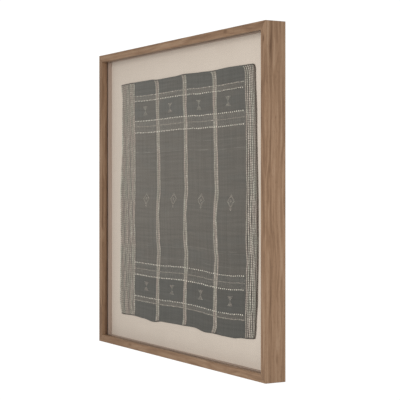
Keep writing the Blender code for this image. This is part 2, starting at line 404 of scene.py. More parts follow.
def walnutMaterial():
    material, tree, shader = startMaterial("walnut", walnut["roughness"])
    grain = addNode(tree, "Attribute", attribute_name="grain", attribute_type="GEOMETRY").outputs["Vector"]

    # how near each mark is, from 1 at its heart to 0 well outside it, longer along the grain
    mark = 0.0
    for along, across, deep, length, width, strength in zip(*walnutMarks.values()):
        heart = (along, across * mm, deep * mm)
        way = addNode(tree, "VectorMath", {0: grain, 1: heart}, operation="SUBTRACT").outputs[0]
        scaled = stretch(tree, way, (1 / (length * mm), 1 / (width * mm), 1 / (width * mm)))
        distance = addNode(tree, "VectorMath", {0: scaled}, operation="LENGTH").outputs["Value"]
        near = calc(tree, "EXPONENT", calc(tree, "MULTIPLY", calc(tree, "POWER", distance, 2.0), -1.0))
        mark = calc(tree, "MULTIPLY_ADD", near, strength, mark)

    # the fibres lean and wander a little, and growth rings are shells about the pith
    parts = addNode(tree, "SeparateXYZ", {0: grain})
    drift = cloud(tree, grain, (3.4, 9.0, 9.0), 2.0)
    ripple = cloud(tree, grain, (13.0, 45.0, 45.0), 2.0)
    lean = calc(tree, "MULTIPLY_ADD", drift, walnut["lean"] * mm, calc(tree, "MULTIPLY", ripple, 0.004))
    leaning = addNode(tree, "CombineXYZ", {0: parts.outputs[0], 1: calc(tree, "ADD", parts.outputs[1], lean),
                                           2: calc(tree, "ADD", parts.outputs[2], lean)}).outputs[0]
    across = calc(tree, "SUBTRACT", parts.outputs[1], walnut["pith"][0] * mm)
    deep = calc(tree, "SUBTRACT", parts.outputs[2], walnut["pith"][1] * mm)
    radius = calc(tree, "SQRT", calc(tree, "ADD", calc(tree, "POWER", across, 2.0), calc(tree, "POWER", deep, 2.0)))
    radius = calc(tree, "MULTIPLY_ADD", drift, 0.055, radius)
    radius = calc(tree, "MULTIPLY_ADD", ripple, 0.0035, radius)
    radius = calc(tree, "MULTIPLY_ADD", mark, 0.006, radius)
    phase = calc(tree, "MULTIPLY", radius, 2 * math.pi / (walnut["ringPitch"] * mm))
    ring = calc(tree, "MULTIPLY_ADD", calc(tree, "SINE", phase), 0.5, 0.5)
    ring = calc(tree, "POWER", ring, 1.6)

    streak = cloud(tree, leaning, (6.5, 210.0, 210.0), 3.0, 0.58)
    broad = cloud(tree, leaning, (2.4, 62.0, 62.0), 2.0)
    fibre = cloud(tree, grain, (22.0, 620.0, 620.0), 2.0)
    tone = calc(tree, "MULTIPLY", ring, 0.13)
    tone = calc(tree, "MULTIPLY_ADD", streak, 0.95, tone)
    tone = calc(tree, "MULTIPLY_ADD", broad, 0.55, tone)
    tone = calc(tree, "MULTIPLY_ADD", fibre, 0.30, tone)
    tone = calc(tree, "SUBTRACT", tone, calc(tree, "MULTIPLY", mark, 0.40))

    # one darker streak runs along the outside, and painted shade darkens the inside of the lip towards the pane,
    # deep in the recess
    away = calc(tree, "DIVIDE", calc(tree, "SUBTRACT", parts.outputs[2], walnut["darkStreak"] * mm), 3.4 * mm)
    away = calc(tree, "EXPONENT", calc(tree, "MULTIPLY", calc(tree, "POWER", away, 2.0), -1.0))
    outside = reach(tree, parts.outputs[1], 0.004, 0.001)
    tone = calc(tree, "SUBTRACT", tone, calc(tree, "MULTIPLY", calc(tree, "MULTIPLY", away, outside), 0.14))
    # painted shade: the lip's inner face is darker in its deeper half, next to the pane
    innerFace = reach(tree, parts.outputs[1], (rails["face"] - 1.5) * mm, (rails["face"] - 0.2) * mm)
    shadeNearPane = reach(tree, parts.outputs[2], 0.4 * rails["lip"] * mm, 0.8 * rails["lip"] * mm)
    inside = calc(tree, "MULTIPLY", innerFace, shadeNearPane)
    tone = calc(tree, "SUBTRACT", tone, calc(tree, "MULTIPLY", inside, 0.30))
    colour = ramp(tree, reach(tree, tone, 0.55, 1.38, smooth=False), [
        (0.0, walnut["dark"]), (0.5, walnut["mid"]), (1.0, walnut["light"])])

    # open pores are short dark dashes along the grain
    pore = reach(tree, cloud(tree, grain, (95.0, 2300.0, 2300.0), 1.0), 0.60, 0.70)
    colour = tint(tree, calc(tree, "MULTIPLY", pore, 0.45), colour, (0.07, 0.038, 0.022, 1))
    seam = addNode(tree, "Attribute", attribute_name="mitre", attribute_type="GEOMETRY").outputs["Fac"]
    colour = tint(tree, calc(tree, "MULTIPLY", seam, 0.7), colour, (0.06, 0.035, 0.02, 1))
    height = calc(tree, "SUBTRACT", calc(tree, "MULTIPLY", fibre, 0.4), calc(tree, "MULTIPLY", pore, 0.8))
    rough = reach(tree, calc(tree, "ADD", streak, pore), 0.3, 1.5, 0.46, 0.66, smooth=False)
    wear(tree, shader, colour, rough, bump(tree, height, 0.35, 0.12 * mm))
    shader.inputs["Specular IOR Level"].default_value = 0.35
    return material


def makeRails():
    material = walnutMaterial()
    x, z, up = np.array([1.0, 0, 0]), np.array([0, 0, 1.0]), frameHeight / 2
    middle = np.array([centreX, frontY, centreZ])
    side = frameWidth / 2
    shift = rails["grainShift"]
    makeRail("top", middle + z * up, x, -z, frameWidth, shift["top"], material)
    makeRail("bottom", middle - z * up, x, z, frameWidth, shift["bottom"], material)
    makeRail("left", middle - x * side, z, x, frameHeight, shift["left"], material)
    makeRail("right", middle + x * side, z, -x, frameHeight, shift["right"], material)


makeRails()
print("walnut rails made")


# Clear pane, spacers and boards keep their solids and get their finish here

def dress(nodeName, material):
    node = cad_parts[nodeName]
    node.data.materials.clear()
    node.data.materials.append(material)


clearPane = {
    "tone": (0.985, 0.992, 0.988),
    "shine": 0.008,  # how much each face reflects when seen straight on
    "grazing": 0.12,  # and how much more at its rim
    "roughness": (0.03, 0.12),
    "bevel": 0.25,  # mm
}


def paneMaterial():
    material, tree, shader = startMaterial("clearPane", 0.1)
    place = addNode(tree, "TexCoord").outputs["Object"]
    smear = cloud(tree, place, (5.0, 5.0, 9.0), 3.0)
    through = addNode(tree, "BsdfTransparent", {"Color": (*clearPane["tone"], 1.0)})
    gloss = addNode(tree, "BsdfGlossy", {
        "Color": (1, 1, 1, 1), "Roughness": reach(tree, smear, 0.3, 0.7, *clearPane["roughness"])})
    slope = addNode(tree, "LayerWeight", {"Blend": 0.5}).outputs["Facing"]
    edge = calc(tree, "MULTIPLY", calc(tree, "POWER", slope, 5.0), clearPane["grazing"])
    both = addNode(tree, "MixShader", {
        0: calc(tree, "ADD", edge, clearPane["shine"]), 1: through.outputs[0], 2: gloss.outputs[0]})
    tree.nodes.remove(shader)
    tree.links.new(both.outputs[0], tree.nodes["Material Output"].inputs["Surface"])
    return material


spacerWood = {"dark": (0.33, 0.245, 0.195), "light": (0.45, 0.345, 0.285)}


def spacerMaterial(name, lengthwise):
    material, tree, shader = startMaterial(name, 0.7)
    place = addNode(tree, "TexCoord").outputs["Object"]
    fine, coarse = (12.0, 900.0, 900.0), (3.0, 120.0, 120.0)
    if lengthwise == "z":
        fine, coarse = fine[::-1], coarse[::-1]
    fibre = cloud(tree, place, fine, 2.0)
    streak = cloud(tree, place, coarse, 3.0)
    tone = calc(tree, "MULTIPLY_ADD", fibre, 0.4, calc(tree, "MULTIPLY", streak, 0.6))
    colour = ramp(tree, tone, [(0.3, spacerWood["dark"]), (0.7, spacerWood["light"])])
    wear(tree, shader, colour, reach(tree, fibre, 0.3, 0.7, 0.62, 0.8), bump(tree, fibre, 0.3, 0.1 * mm))
    return material


boards = {
    "mount": {"dark": (0.50, 0.45, 0.38), "light": (0.62, 0.57, 0.50), "fleck": (0.36, 0.31, 0.25)},
    "back": {"dark": (0.20, 0.135, 0.085), "light": (0.31, 0.225, 0.15), "fleck": (0.12, 0.075, 0.045)},
}


def boardMaterial(name, tones):
    material, tree, shader = startMaterial(name, 0.85)
    place = addNode(tree, "TexCoord").outputs["Object"]
    pulp = cloud(tree, place, (60.0, 60.0, 60.0), 5.0, 0.65)
    strand = cloud(tree, place, (420.0, 420.0, 420.0), 3.0)
    tone = calc(tree, "MULTIPLY_ADD", strand, 0.5, calc(tree, "MULTIPLY", pulp, 0.5))
    colour = ramp(tree, tone, [(0.35, tones["dark"]), (0.65, tones["light"])])
    fleck = reach(tree, cloud(tree, place, (260.0, 260.0, 900.0), 1.0), 0.66, 0.74)
    colour = tint(tree, calc(tree, "MULTIPLY", fleck, 0.6), colour, (*tones["fleck"], 1.0))
    wear(tree, shader, colour, reach(tree, strand, 0.3, 0.7, 0.78, 0.92), bump(tree, tone, 0.4, 0.25 * mm))
    return material


def makePane():
    # a flat sheet with ground edges: the section of a box whose edges are cut back by the bevel
    low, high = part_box("pane")
    cut = clearPane["bevel"] * mm
    y = np.array([low.y, low.y + cut, high.y - cut, high.y])
    inset = np.array([cut, 0.0, 0.0, cut])
    side = np.array([[-1, -1], [1, -1], [1, 1], [-1, 1]])
    middle = np.array([(low.x + high.x) / 2, (low.z + high.z) / 2])
    half = np.array([(high.x - low.x) / 2, (high.z - low.z) / 2])
    flat = middle + side[None] * (half - inset[:, None, None])
    points = np.stack([flat[..., 0], np.broadcast_to(y[:, None], flat.shape[:2]), flat[..., 1]], axis=-1)
    ring = np.arange(4)
    first = np.arange(3)[:, None] * 4
    walls = np.stack([first + ring, first + 4 + ring, first + 4 + (ring + 1) % 4, first + (ring + 1) % 4], axis=-1)
    faces = [*walls.reshape(-1, 4).tolist(), [0, 1, 2, 3], [15, 14, 13, 12]]
    piece = addPiece("clearPane", points, faces, paneMaterial(), ["pane"])
    piece.data.shade_flat()
    piece.visible_shadow = False  # so clear that it casts none
    piece.visible_diffuse = False


def dressFlatParts():
    level = spacerMaterial("spacerAlongX", "x")
    upright = spacerMaterial("spacerAlongZ", "z")
    for name, material in (("top", level), ("bottom", level), ("left", upright), ("right", upright)):
        dress("spacer_" + name, material)
    dress("mount_board", boardMaterial("mountBoard", boards["mount"]))
    dress("back_board", boardMaterial("backBoard", boards["back"]))


makePane()
dressFlatParts()
print("pane, spacers and boards finished")


# Linen stretched over the mount board

linen = {
    "step": 6.0,  # mm between the mesh's lines
    "slack": 0.05,  # mm, how far it is from flat
    "warpPitch": 1.05,
    "weftPitch": 0.95,
    "dark": (0.525, 0.446, 0.378),
    "light": (0.638, 0.555, 0.480),
}


def linenMaterial():
    material, tree, shader = startMaterial("linen", 0.95)
    threads = addNode(tree, "UVMap", uv_map="threads").outputs[0]
    parts = addNode(tree, "SeparateXYZ", {0: threads})
    warpSlub = cloud(tree, threads, (0.9, 0.012, 1.0), 3.0)
    weftSlub = cloud(tree, threads, (0.012, 0.9, 1.0), 3.0)
    warp = calc(tree, "SINE", calc(tree, "MULTIPLY", parts.outputs[0], math.pi / linen["warpPitch"]))
    weft = calc(tree, "SINE", calc(tree, "MULTIPLY", parts.outputs[1], math.pi / linen["weftPitch"]))
    weave = calc(tree, "MULTIPLY_ADD", calc(tree, "MULTIPLY", warp, weft), 0.5, 0.5)
    patch = cloud(tree, threads, (0.012, 0.012, 1.0), 3.0)
    # painted shade: the tone is lower where the weave's bump is low, between the crossings
    tone = calc(tree, "MULTIPLY", weave, 0.08)
    tone = calc(tree, "MULTIPLY_ADD", warpSlub, 0.36, tone)
    tone = calc(tree, "MULTIPLY_ADD", weftSlub, 0.36, tone)
    tone = calc(tree, "MULTIPLY_ADD", patch, 0.22, tone)
    colour = ramp(tree, tone, [(0.25, linen["dark"]), (0.80, linen["light"])])
    height = calc(tree, "MULTIPLY_ADD", weave, 0.6, calc(tree, "MULTIPLY", warpSlub, 0.5))
    height = calc(tree, "MULTIPLY_ADD", weftSlub, 0.5, height)
    wear(tree, shader, colour, reach(tree, weave, 0.0, 1.0, 0.98, 0.88), bump(tree, height, 0.35, 0.15 * mm))
    shader.inputs["Sheen Weight"].default_value = 0.03
    shader.inputs["Specular IOR Level"].default_value = 0.2
    return material


def makeLinen():
    # y = front + slack (sin sin): a flat sheet with a trace of unevenness, closed behind
    low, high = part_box("linen_ground")
    columns = int((high.x - low.x) / (linen["step"] * mm))
    rows = int((high.z - low.z) / (linen["step"] * mm))
    x, z = np.meshgrid(np.linspace(low.x, high.x, columns), np.linspace(low.z, high.z, rows))
    wave = np.sin(x * 31.0 + 2.0 * np.sin(z * 9.0)) * np.sin(z * 27.0 + 1.5 * np.sin(x * 11.0))
    y = low.y + linen["slack"] * mm * (1.0 + wave)
    points, faces, rim = closedSheet(np.stack([x, y, z], axis=-1), high.y)
    piece = addPiece("linenGround", points, faces, linenMaterial(), ["linen_ground"])
    piece.data.set_sharp_from_angle(angle=math.radians(50))
    addThreads(piece, (points[:, 0] - centreX) / mm, (points[:, 2] - centreZ) / mm)
    return piece


linenPiece = makeLinen()
print("linen stretched")


# The handwoven cloth. Places in the weave are u across and v up, in mm from the middle of the frame.

cloth = {
    "left": -335.0, "right": 338.0, "top": 300.0, "bottom": -303.0,
    "thick": 1.5,  # mm
    "rimThick": 0.7,
    "rimWidth": 2.2,
    "step": 2.5,  # mm between the mesh's lines
    "falls": 0.45,  # mm, height of the slow ripples
    "ribs": 0.05,  # mm, height of the weft ribs
    "cornerReach": 11.0,
    "cornerWear": ((-1, 1, 1.0), (1, 1, 3.0), (-1, -1, 1.5), (1, -1, 1.5)),  # side, end, mm
}
topEdge = {
    "along": (0, 70, 180, 211, 300, 348, 423, 486, 560, 673),
    "offset": (-1, 0, 0, -2, -1, 1, -1, -2, 0, -1),
}
bottomEdge = {
    "along": (0, 74, 130, 185, 237, 335, 394, 448, 486, 530, 573, 616, 673),
    "offset": (0, -2, 0, 4, -1, -2, -3, 3, 2, 3, 3, -1, -4),
}
leftEdge = {
    "along": (0, 36, 194, 260, 312, 457, 562, 603),
    "offset": (0, 7, 3, 4, 4, -6, -6, -1),
}
rightEdge = {
    "along": (0, 36, 90, 187, 274, 479, 583, 603),
    "offset": (-8, -5, 0, 3, 3, -3, -8, -8),
}
warpWander = {  # how far the warp strays sideways at heights from the bottom up
    "height": (-303, -280, -250, -220, -160, -130, -100, -70, -40, -10, 20, 80, 170, 200, 230, 290, 300),
    "offset": (-4, -1, -2, -1, 3, 5.6, 1.3, -0.6, -2, 0.4, 5.4, 3.4, 1.2, -0.9, -3, -3.7, -7),
}
upperWefts = {  # how far the upper bands stray up or down, from left to right
    "across": (-235, -200, -155, -100, -8, 45, 90, 135, 182, 225, 270),
    "offset": (0.5, -0.5, -0.7, 0, 1, 0.7, -1, -0.4, -1, 0, 0.9),
}
lowerWefts = {
    "across": (-235, -200, -155, -100, -55, -8, 45, 90, 135, 182, 225, 270),
    "offset": (1.8, 1.2, 0.7, 0.6, 1.8, 2.9, 1.7, 0.4, -2.4, -4, -3.7, -1.2),
}
stripes = {
    "middle": (-124.2, 17.1, 159.3),
    "width": (19.0, 20.0, 20.0),
}
borders = {"leftInner": -255.0, "rightInner": 289.0}
bands = {  # weft bands from the top down
    "middle": (262.4, 249.7, 198.6, 184.1, 168.8, -164.0, -179.5, -195.0, -249.5, -260.8),
    "height": (3.0, 3.4, 3.4, 2.8, 3.4, 3.4, 2.8, 3.4, 3.4, 3.2),
    "tone": (0.66, 0.95, 1.0, 0.50, 1.0, 0.95, 0.50, 1.0, 0.95, 0.60),
}


def eased(table, at):
    # eases smoothly between a table's rows: 3 s^2 - 2 s^3 of the way s from one to the next
    places, offsets = (np.array(column, float) for column in table.values())
    index = np.clip(np.searchsorted(places, at, side="right") - 1, 0, len(places) - 2)
    share = np.clip((at - places[index]) / (places[index + 1] - places[index]), 0.0, 1.0)
    return offsets[index] + (offsets[index + 1] - offsets[index]) * share * share * (3.0 - 2.0 * share)


def strayed(u, v):
    # Sideways, a place moves with the left edge, the warps' wander and the right edge, blended across;
    # upwards, with the top edge, the upper wefts, the lower wefts and the bottom edge, blended up.
    leftShare = np.clip((borders["leftInner"] - u) / (borders["leftInner"] - cloth["left"]), 0.0, 1.0)
    rightShare = np.clip((u - borders["rightInner"]) / (cloth["right"] - borders["rightInner"]), 0.0, 1.0)
    strength = np.interp(u, (borders["leftInner"], -124.0, 159.0, borders["rightInner"]), (0.7, 1.0, 1.0, 0.7))
    inner = eased(warpWander, v) * strength * (1.0 - leftShare) * (1.0 - rightShare)
    along = v - cloth["bottom"]
    x = u + inner - eased(leftEdge, along) * leftShare + eased(rightEdge, along) * rightShare

    across = u - cloth["left"]
    topShare = np.clip((v - 262.0) / (cloth["top"] - 262.0), 0.0, 1.0)
    bottomShare = np.clip((-261.0 - v) / (-261.0 - cloth["bottom"]), 0.0, 1.0)
    upperShare = np.clip((v + 164.0) / (164.0 + 168.0), 0.0, 1.0) * (1.0 - topShare)
    lowerShare = (1.0 - np.clip((v + 164.0) / (164.0 + 168.0), 0.0, 1.0)) * (1.0 - bottomShare)
    z = v + eased(topEdge, across) * topShare - eased(bottomEdge, across) * bottomShare
    z = z + eased(upperWefts, u) * upperShare + eased(lowerWefts, u) * lowerShare
    for side, end, worn in cloth["cornerWear"]:
        edgeU = cloth["right"] if side > 0 else cloth["left"]
        edgeV = cloth["top"] if end > 0 else cloth["bottom"]
        near = np.clip(1.0 - np.abs(edgeU - u) / cloth["cornerReach"], 0.0, 1.0)
        near = near * np.clip(1.0 - np.abs(edgeV - v) / cloth["cornerReach"], 0.0, 1.0)
        x = x - side * worn * near
        z = z - end * worn * near
    return x, z


def clothLift(u, v):
    # Height of the cloth's face over its back, in mm: its thickness, slow ripples that die away at the
    # rim, fine weft ribs, and soft swells under the borders and the stripes; thin at the very edge.
    ripple = np.sin(u / 37.0 + 1.3 * np.sin(v / 61.0)) * np.sin(v / 49.0 + 0.9 * np.sin(u / 83.0) + 0.6)
    pucker = np.sin(v / 9.5 + 1.7 * np.sin(u / 41.0)) * np.exp(-((v - 2.0) / 26.0) ** 2)
    rib = np.sin(v * 1.9 + 1.5 * np.sin(u / 23.0))
    swell = 0.0
    for middle, width in zip(*stripes.values()):
        swell = swell + 0.35 * np.exp(-((u - middle) / (0.55 * width)) ** 4)
    swell = swell + 0.25 * (u < borders["leftInner"]) + 0.25 * (u > borders["rightInner"])
    fromEdge = np.minimum(np.minimum(u - cloth["left"], cloth["right"] - u),
                          np.minimum(v - cloth["bottom"], cloth["top"] - v))
    inward = np.clip(fromEdge / 30.0, 0.0, 1.0)
    hem = np.minimum(v - cloth["bottom"], cloth["top"] - v)
    roll = 0.35 * np.exp(-((hem - 2.6) / 1.5) ** 2)
    body = cloth["thick"] + swell + roll + cloth["ribs"] * rib
    body = body + cloth["falls"] * inward * (1.0 + ripple + 0.35 * pucker)
    rim = np.clip(fromEdge / cloth["rimWidth"], 0.0, 1.0)
    return cloth["rimThick"] + (body - cloth["rimThick"]) * np.sqrt(rim * (2.0 - rim))


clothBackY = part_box("textile")[1].y


def inTheWeave(u, v, lift):
    # the point in the room of a place in the weave, this many mm in front of the cloth's back
    x, z = strayed(u, v)
    y = np.broadcast_to(clothBackY - lift * mm, x.shape)
    return np.stack([centreX + x * mm, y, centreZ + z * mm], axis=-1)


wool = {
    "warm": (0.150, 0.136, 0.119),
    "cool": (0.142, 0.136, 0.123),
    "gap": (0.112, 0.099, 0.086),  # painted shade on the ground under and between the thick yarns
    "tick": (0.33, 0.31, 0.27),
    "selvedge": (0.090, 0.066, 0.052),
    "warpPitch": 1.3,  # mm
    "weftPitch": 1.15,
}
# The ground from the bottom up: where each stretch ends, how bright it is and how cool
groundZones = {
    "upTo": (-262, -250, -197, -163, -100, -60, 168, 199, 249, 263, 301),
    "level": (0.76, 0.90, 0.78, 0.87, 0.92, 0.96, 1.0, 1.05, 0.94, 1.02, 0.88),
    "cool": (1.0, 0.3, 1.0, 0.4, 0.2, 0.0, 0.0, 0.1, 0.7, 0.1, 1.0),
}
litZones = {"from": (-261, -195, 169, 250), "to": (-250, -164, 199, 262)}  # between pairs of bands
strayWefts = {"place": (118.0, 139.0, -112.0, -117.0, -146.0), "tone": (0.34, 0.16, 0.22, 0.18, 0.20)}


def zoneRamp(tree, v, column, scale=1.0):
    # the value of one column of groundZones at height v, in short blends from stretch to stretch
    low, high = cloth["bottom"], cloth["top"]
    stops = []
    start = 0.0
    for end, value in zip(groundZones["upTo"], groundZones[column]):
        colour = (value * scale,) * 3
        stop = min((end - low) / (high - low), 1.0)
        stops += [(start + 0.001, colour), (stop - 0.001, colour)]
        start = stop
    return ramp(tree, reach(tree, v, low, high, smooth=False), stops)


def woolMaterial():
    material, tree, shader = startMaterial("greyWool", 0.95)
    threads = addNode(tree, "UVMap", uv_map="threads").outputs[0]
    parts = addNode(tree, "SeparateXYZ", {0: threads})
    u, v = parts.outputs[0], parts.outputs[1]
    patch = cloud(tree, threads, (0.008, 0.03, 1.0), 3.0)
    cool = calc(tree, "ADD", zoneRamp(tree, v, "cool"), reach(tree, patch, 0.35, 0.65, -0.35, 0.35))
    colour = tint(tree, calc(tree, "MAXIMUM", calc(tree, "MINIMUM", cool, 1.0), 0.0),
                  (*wool["warm"], 1), (*wool["cool"], 1))

    # each thread has its own shade, and the dye took unevenly along it
    warpShade = cloud(tree, threads, (0.14, 0.004, 1.0), 4.0, 0.6)
    weftShade = cloud(tree, threads, (0.006, 0.17, 1.0), 4.0, 0.65)
    shade = calc(tree, "MULTIPLY_ADD", warpShade, 0.45, calc(tree, "MULTIPLY", weftShade, 0.55))
    shade = reach(tree, shade, 0.30, 0.70, 0.80, 1.20, smooth=False)
    shade = calc(tree, "MULTIPLY", shade, zoneRamp(tree, v, "level"))
    # painted light: the ground is darker towards the right, standing in for the sheen that lightens the left at the
    # grazing view and offsetting the key light, which falls stronger on the right
    shade = calc(tree, "MULTIPLY", shade, reach(tree, u, -250.0, 290.0, 1.05, 0.82, smooth=False))

    # small dots of the pale warp show between the pairs of bands
    lit = 0.0
    for start, stop in zip(*litZones.values()):
        inside = calc(tree, "MULTIPLY", reach(tree, v, start - 1.0, start + 1.0), reach(tree, v, stop + 1.0, stop - 1.0))
        lit = calc(tree, "ADD", inside, lit)
    tick = calc(tree, "MULTIPLY_ADD", calc(tree, "SINE", calc(tree, "MULTIPLY", u, 2 * math.pi / 8.8)), 0.5, 0.5)
    tick = calc(tree, "MULTIPLY", calc(tree, "POWER", tick, 2.0), lit)
    tick = calc(tree, "MULTIPLY", tick, reach(tree, cloud(tree, threads, (0.1, 0.4, 1.0), 2.0), 0.40, 0.60))
    colour = tint(tree, calc(tree, "MULTIPLY", tick, 0.35), colour, (*wool["tick"], 1))

    # a few single pale wefts cross the whole cloth
    stray = 0.0
    for place, tone in zip(*strayWefts.values()):
        away = calc(tree, "ABSOLUTE", calc(tree, "SUBTRACT", v, place))
        stray = calc(tree, "MULTIPLY_ADD", reach(tree, away, 1.3, 0.3), tone, stray)
    broken = reach(tree, cloud(tree, threads, (0.03, 0.3, 1.0), 2.0), 0.36, 0.62)
    colour = tint(tree, calc(tree, "MULTIPLY", stray, broken), colour, (*wool["tick"], 1))

    # painted shade: the ground under and between the thick yarns of the stripes and borders is darkened as if
    # shaded by them. The right edge is darker still.
    behind = calc(tree, "ADD", reach(tree, u, -249.0, -252.0), reach(tree, u, 289.5, 291.5))
    for middle in stripes["middle"]:
        away = calc(tree, "ABSOLUTE", calc(tree, "SUBTRACT", u, middle))
        behind = calc(tree, "ADD", reach(tree, away, 9.0, 7.5), behind)
    # painted shade under and between the thick yarns
    colour = tint(tree, behind, colour, (*wool["gap"], 1))
    colour = tint(tree, reach(tree, u, 333.0, 334.4), colour, (*wool["selvedge"], 1))

    warp = calc(tree, "SINE", calc(tree, "MULTIPLY", u, math.pi / wool["warpPitch"]))
    weft = calc(tree, "SINE", calc(tree, "MULTIPLY", v, math.pi / wool["weftPitch"]))
    weave = calc(tree, "MULTIPLY_ADD", calc(tree, "MULTIPLY", warp, weft), 0.5, 0.5)
    # painted shade: the weave is darker where its bump is low, between the crossings
    shade = calc(tree, "MULTIPLY", shade, reach(tree, weave, 0.0, 1.0, 0.94, 1.06, smooth=False))
    scaled = addNode(tree, "VectorMath", {0: colour, "Scale": shade}, operation="SCALE").outputs[0]

    fuzz = cloud(tree, threads, (1.7, 1.7, 1.0), 4.0)
    height = calc(tree, "MULTIPLY_ADD", weave, 0.7, calc(tree, "MULTIPLY", fuzz, 0.5))
    height = calc(tree, "MULTIPLY_ADD", weftShade, 0.4, height)
    wear(tree, shader, scaled, reach(tree, fuzz, 0.3, 0.7, 0.86, 0.98), bump(tree, height, 0.35, 0.2 * mm))
    shader.inputs["Sheen Weight"].default_value = 0.03
    shader.inputs["Sheen Roughness"].default_value = 0.6
    shader.inputs["Specular IOR Level"].default_value = 0.1
    return material


def meshLines(low, high, step):
    # evenly spaced lines with a few closer ones at both rims
    rim = np.array([0.0, 0.25, 0.7, 1.3, 2.2, 3.4])
    inner = np.linspace(low + 5.0, high - 5.0, int((high - low - 10.0) / step) + 1)
    return np.concatenate([low + rim, inner, high - rim[::-1]])


def makeCloth():
    # the face is a grid of places in the weave, lifted by clothLift; the back is flat
    u, v = np.meshgrid(meshLines(cloth["left"], cloth["right"], cloth["step"]),
                       meshLines(cloth["bottom"], cloth["top"], cloth["step"]))
    face = inTheWeave(u, v, clothLift(u, v))
    points, faces, rim = closedSheet(face, clothBackY)
    piece = addPiece("handwovenCloth", points, faces, woolMaterial(), ["textile"])
    piece.data.set_sharp_from_angle(angle=math.radians(70))
    addThreads(piece, np.concatenate([u.ravel(), u.ravel()[rim]]), np.concatenate([v.ravel(), v.ravel()[rim]]))
    return piece


clothPiece = makeCloth()
print("ground cloth woven,", len(clothPiece.data.polygons), "faces")


# Thicker yarns over the ground: each float of a yarn is a small bead with a domed face

def beadShape(across, along):
    # a square grid pressed to a disc: a = p sqrt(1 - q^2/2), b = q sqrt(1 - p^2/2), height sqrt(1 - a^2 - b^2)
    p, q = np.meshgrid(np.linspace(-1, 1, across), np.linspace(-1, 1, along))
    a, b = p * np.sqrt(1 - q * q / 2), q * np.sqrt(1 - p * p / 2)
    dome = np.sqrt(np.clip(1 - a * a - b * b, 0.0, 1.0))
    rim = rimOf(along, across)
    faces = gridFaces(along, across)
    return a.ravel(), b.ravel(), dome.ravel() ** 0.8, faces, rim


def makeBeads(name, beads, material, across=4, along=5):
    # beads is a dict of arrays: the middle's u and v, width and length in mm, height, sink and tone
    a, b, dome, cells, rim = beadShape(across, along)
    u = beads["u"][:, None] + a * beads["width"][:, None] / 2
    v = beads["v"][:, None] + b * beads["length"][:, None] / 2
    lean = beads.get("lean", np.zeros(len(beads["u"])))
    u = u + lean[:, None] * (v - beads["v"][:, None])
    insideU = np.clip(u, cloth["left"], cloth["right"])
    insideV = np.clip(v, cloth["bottom"], cloth["top"])
    ground = clothLift(insideU, insideV) + beads.get("base", 0.0)
    lift = ground - beads["sink"] + dome * beads["height"][:, None]
    places = inTheWeave(insideU, insideV, lift)
    places[..., 0] += (u - insideU) * mm
    places[..., 2] += (v - insideV) * mm
    count = len(beads["u"])
    starts = np.arange(count)[:, None, None] * len(a)
    quads = (cells[None] + starts).reshape(-1, 4)
    bottoms = (rim[::-1][None] + starts[:, :, 0]).reshape(count, -1)
    piece = addPiece(name, places, [*quads.tolist(), *bottoms.tolist()], material)
    addThreads(piece, a * beads["width"][:, None] / 2 + np.zeros(u.shape), v)
    addAttribute(piece, "tone", np.repeat(beads["tone"], len(a)))
    addAttribute(piece, "place", np.stack([u, v, np.zeros(u.shape)], axis=-1).reshape(-1, 3))
    return piece


yarn = {
    "dim": (0.190, 0.170, 0.146),
    "pale": (0.325, 0.293, 0.250),
    "bright": (0.740, 0.700, 0.610),
    "rosy": (1.06, 0.985, 0.99),  # the pale wool drifts between these two tints
    "green": (0.97, 1.0, 0.98),
    "plyPitch": 1.5,  # mm between the turns of the twist
}


def yarnMaterial():
    material, tree, shader = startMaterial("paleYarn", 0.9)
    threads = addNode(tree, "UVMap", uv_map="threads").outputs[0]
    place = addNode(tree, "Attribute", attribute_name="place", attribute_type="GEOMETRY").outputs["Vector"]
    tone = addNode(tree, "Attribute", attribute_name="tone", attribute_type="GEOMETRY").outputs["Fac"]
    parts = addNode(tree, "SeparateXYZ", {0: threads})
    slant = calc(tree, "MULTIPLY_ADD", parts.outputs[0], 0.9, parts.outputs[1])
    ply = calc(tree, "SINE", calc(tree, "MULTIPLY", slant, 2 * math.pi / yarn["plyPitch"]))
    ply = calc(tree, "MULTIPLY_ADD", ply, 0.5, 0.5)
    fuzz = cloud(tree, place, (1.6, 1.6, 1.0), 4.0)
    patch = cloud(tree, place, (0.10, 0.025, 1.0), 3.0)
    shade = calc(tree, "MULTIPLY_ADD", patch, 0.55, calc(tree, "MULTIPLY", fuzz, 0.30))
    shade = calc(tree, "ADD", tone, reach(tree, shade, 0.2, 0.65, -0.13, 0.12, smooth=False))
    colour = ramp(tree, shade, [(0.0, yarn["dim"]), (0.6, yarn["pale"]), (1.0, yarn["bright"])])
    # painted shade: the grooves of the twist, where the bump is low, are darkened
    colour = tint(tree, reach(tree, ply, 0.25, 0.0, 0.0, 0.12), colour, (0.16, 0.145, 0.125, 1))
    hue = reach(tree, cloud(tree, place, (0.11, 0.016, 1.0), 3.0), 0.38, 0.62)
    colour = tint(tree, 1.0, colour, tint(tree, hue, (*yarn["rosy"], 1), (*yarn["green"], 1)), "MULTIPLY")
    height = calc(tree, "MULTIPLY_ADD", ply, 0.7, calc(tree, "MULTIPLY", fuzz, 0.6))
    wear(tree, shader, colour, reach(tree, fuzz, 0.3, 0.7, 0.82, 0.96), bump(tree, height, 0.35, 0.15 * mm))
    shader.inputs["Sheen Weight"].default_value = 0.03
    shader.inputs["Specular IOR Level"].default_value = 0.1
    return material


warps = {
    "pitch": 5.2,  # mm from one float to the next along the yarn
    "steps": 5,  # rows of the mesh for each float
    "height": 0.6,
    "sink": 0.12,
    "pinch": 0.14,  # how much narrower a yarn is where a weft crosses it
    "dip": 0.5,  # and how much lower
    "roam": 0.7,  # mm that a strand strays by itself
    "mottle": 0.055,  # how unevenly it took the dye
    "topReach": 26.0,  # mm below the top where the yarns begin to fan out
}
